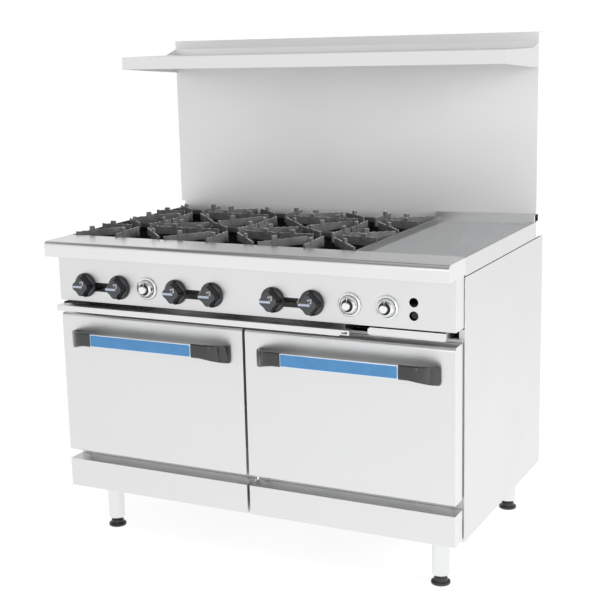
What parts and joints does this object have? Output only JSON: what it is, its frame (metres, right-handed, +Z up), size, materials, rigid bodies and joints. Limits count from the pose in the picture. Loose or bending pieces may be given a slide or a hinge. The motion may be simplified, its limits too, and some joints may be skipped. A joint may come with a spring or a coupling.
{
  "type": "commercial gas range",
  "caption": "Restaurant gas range with open burners and cast grates, a griddle section, twin ovens with drop-down doors, levelling feet, and a riser with a high shelf.",
  "frame": {"origin": "on the floor, under the middle of the bounding box", "axes": "+X to the right of someone facing the range, +Y to the back, +Z up"},
  "size_m": [1.2192, 0.832, 1.457],
  "materials": {
    "stainless": "brushed stainless, soft gloss",
    "galvanised": "dull galvanised sheet",
    "cast_iron": "matt black cast iron",
    "griddle_steel": "ground and polished steel plate",
    "black_enamel": "dark porcelain enamel",
    "black_frame": "matt black painted sheet",
    "knob_plastic": "dark blue-grey moulded phenolic",
    "chrome": "bright chrome",
    "insert_plastic": "sky-blue moulded plastic",
    "cap_paint": "gloss black paint on die-cast metal",
    "pipe_steel": "plain grey steel pipe",
    "foot_black": "black painted steel",
    "rack_wire": "plated wire",
    "hinge_steel": "plain zinc-plated steel"
  },
  "bodies": {
    "root_frame": {"side_panel_left": "stainless", "side_panel_right": "stainless", "back_panel": "galvanised", "base_frame": "galvanised", "leg_front_left": "stainless", "leg_front_right": "stainless", "leg_rear_left": "stainless", "leg_rear_right": "stainless", "kick_plate_left": "stainless", "kick_plate_right": "stainless", "oven_liner_left": "black_enamel", "oven_liner_right": "black_enamel", "oven_burner_line": "pipe_steel", "hinge_rod_left": "hinge_steel", "hinge_rod_right": "hinge_steel", "top_ledge": "stainless", "control_panel": "stainless", "gas_manifold": "pipe_steel", "cooktop_frame": "black_frame", "burner_front_1": "cast_iron", "burner_front_2": "cast_iron", "burner_front_3": "cast_iron", "burner_rear_1": "cast_iron", "burner_rear_2": "cast_iron", "burner_rear_3": "cast_iron", "griddle_plate": "griddle_steel", "griddle_burner": "pipe_steel", "riser_panel": "stainless", "high_shelf": "stainless"},
    "foot_front_left": {"foot_front_left": "foot_black"},
    "foot_front_right": {"foot_front_right": "foot_black"},
    "foot_rear_left": {"foot_rear_left": "foot_black"},
    "foot_rear_right": {"foot_rear_right": "foot_black"},
    "door_left": {"door_shell_left": "stainless", "door_liner_left": "black_enamel", "door_handle_left": "cap_paint", "handle_insert_left": "insert_plastic"},
    "door_right": {"door_shell_right": "stainless", "door_liner_right": "black_enamel", "door_handle_right": "cap_paint", "handle_insert_right": "insert_plastic"},
    "knob_1": {"burner_knob_1": "knob_plastic"},
    "knob_2": {"burner_knob_2": "knob_plastic"},
    "knob_3": {"burner_knob_3": "knob_plastic"},
    "knob_4": {"burner_knob_4": "knob_plastic"},
    "knob_5": {"burner_knob_5": "knob_plastic"},
    "knob_6": {"burner_knob_6": "knob_plastic"},
    "oven_dial_left": {"oven_dial_left": "chrome"},
    "oven_dial_right": {"oven_dial_right": "chrome"},
    "griddle_dial": {"griddle_dial": "chrome"},
    "crumb_tray": {"crumb_tray": "stainless"},
    "grease_drawer": {"grease_drawer": "stainless"},
    "grate_front_1": {"grate_front_1": "cast_iron"},
    "grate_front_2": {"grate_front_2": "cast_iron"},
    "grate_front_3": {"grate_front_3": "cast_iron"},
    "grate_rear_1": {"grate_rear_1": "cast_iron"},
    "grate_rear_2": {"grate_rear_2": "cast_iron"},
    "grate_rear_3": {"grate_rear_3": "cast_iron"},
    "oven_rack_left": {"oven_rack_left": "rack_wire"},
    "oven_rack_right": {"oven_rack_right": "rack_wire"}
  },
  "joints": [
    {"name": "foot_front_left_screw", "type": "slide", "parent": "root_frame", "child": "foot_front_left", "axis": [0, 0, -1], "range_m": [0, 0.025]},
    {"name": "foot_front_right_screw", "type": "slide", "parent": "root_frame", "child": "foot_front_right", "axis": [0, 0, -1], "range_m": [0, 0.025]},
    {"name": "foot_rear_left_screw", "type": "slide", "parent": "root_frame", "child": "foot_rear_left", "axis": [0, 0, -1], "range_m": [0, 0.025]},
    {"name": "foot_rear_right_screw", "type": "slide", "parent": "root_frame", "child": "foot_rear_right", "axis": [0, 0, -1], "range_m": [0, 0.025]},
    {"name": "door_left_hinge", "type": "hinge", "parent": "root_frame", "child": "door_left", "pos_m": [-0.305, -0.344, 0.276], "axis": [1, 0, 0], "range_deg": [0, 90]},
    {"name": "door_right_hinge", "type": "hinge", "parent": "root_frame", "child": "door_right", "pos_m": [0.305, -0.344, 0.276], "axis": [1, 0, 0], "range_deg": [0, 90]},
    {"name": "knob_1_turn", "type": "hinge", "parent": "root_frame", "child": "knob_1", "pos_m": [-0.515, -0.356, 0.777], "axis": [0, -1, 0], "range_deg": [0, 90]},
    {"name": "knob_2_turn", "type": "hinge", "parent": "root_frame", "child": "knob_2", "pos_m": [-0.399, -0.356, 0.777], "axis": [0, -1, 0], "range_deg": [0, 90]},
    {"name": "knob_3_turn", "type": "hinge", "parent": "root_frame", "child": "knob_3", "pos_m": [-0.21, -0.356, 0.777], "axis": [0, -1, 0], "range_deg": [0, 90]},
    {"name": "knob_4_turn", "type": "hinge", "parent": "root_frame", "child": "knob_4", "pos_m": [-0.094, -0.356, 0.777], "axis": [0, -1, 0], "range_deg": [0, 90]},
    {"name": "knob_5_turn", "type": "hinge", "parent": "root_frame", "child": "knob_5", "pos_m": [0.094, -0.356, 0.777], "axis": [0, -1, 0], "range_deg": [0, 90]},
    {"name": "knob_6_turn", "type": "hinge", "parent": "root_frame", "child": "knob_6", "pos_m": [0.21, -0.356, 0.777], "axis": [0, -1, 0], "range_deg": [0, 90]},
    {"name": "oven_dial_left_turn", "type": "hinge", "parent": "root_frame", "child": "oven_dial_left", "pos_m": [-0.305, -0.356, 0.78], "axis": [0, -1, 0], "range_deg": [0, 270]},
    {"name": "oven_dial_right_turn", "type": "hinge", "parent": "root_frame", "child": "oven_dial_right", "pos_m": [0.318, -0.356, 0.78], "axis": [0, -1, 0], "range_deg": [0, 270]},
    {"name": "griddle_dial_turn", "type": "hinge", "parent": "root_frame", "child": "griddle_dial", "pos_m": [0.422, -0.356, 0.78], "axis": [0, -1, 0], "range_deg": [0, 270]},
    {"name": "crumb_tray_slide", "type": "slide", "parent": "root_frame", "child": "crumb_tray", "axis": [0, -1, 0], "range_m": [0, 0.5]},
    {"name": "grease_drawer_slide", "type": "slide", "parent": "root_frame", "child": "grease_drawer", "axis": [0, -1, 0], "range_m": [0, 0.4]},
    {"name": "grate_front_1_lift", "type": "slide", "parent": "root_frame", "child": "grate_front_1", "axis": [0, 0, 1], "range_m": [0, 0.12]},
    {"name": "grate_front_2_lift", "type": "slide", "parent": "root_frame", "child": "grate_front_2", "axis": [0, 0, 1], "range_m": [0, 0.12]},
    {"name": "grate_front_3_lift", "type": "slide", "parent": "root_frame", "child": "grate_front_3", "axis": [0, 0, 1], "range_m": [0, 0.12]},
    {"name": "grate_rear_1_lift", "type": "slide", "parent": "root_frame", "child": "grate_rear_1", "axis": [0, 0, 1], "range_m": [0, 0.12]},
    {"name": "grate_rear_2_lift", "type": "slide", "parent": "root_frame", "child": "grate_rear_2", "axis": [0, 0, 1], "range_m": [0, 0.12]},
    {"name": "grate_rear_3_lift", "type": "slide", "parent": "root_frame", "child": "grate_rear_3", "axis": [0, 0, 1], "range_m": [0, 0.12]},
    {"name": "oven_rack_left_slide", "type": "slide", "parent": "root_frame", "child": "oven_rack_left", "axis": [0, -1, 0], "range_m": [0, 0.015]},
    {"name": "oven_rack_right_slide", "type": "slide", "parent": "root_frame", "child": "oven_rack_right", "axis": [0, -1, 0], "range_m": [0, 0.015]}
  ]
}
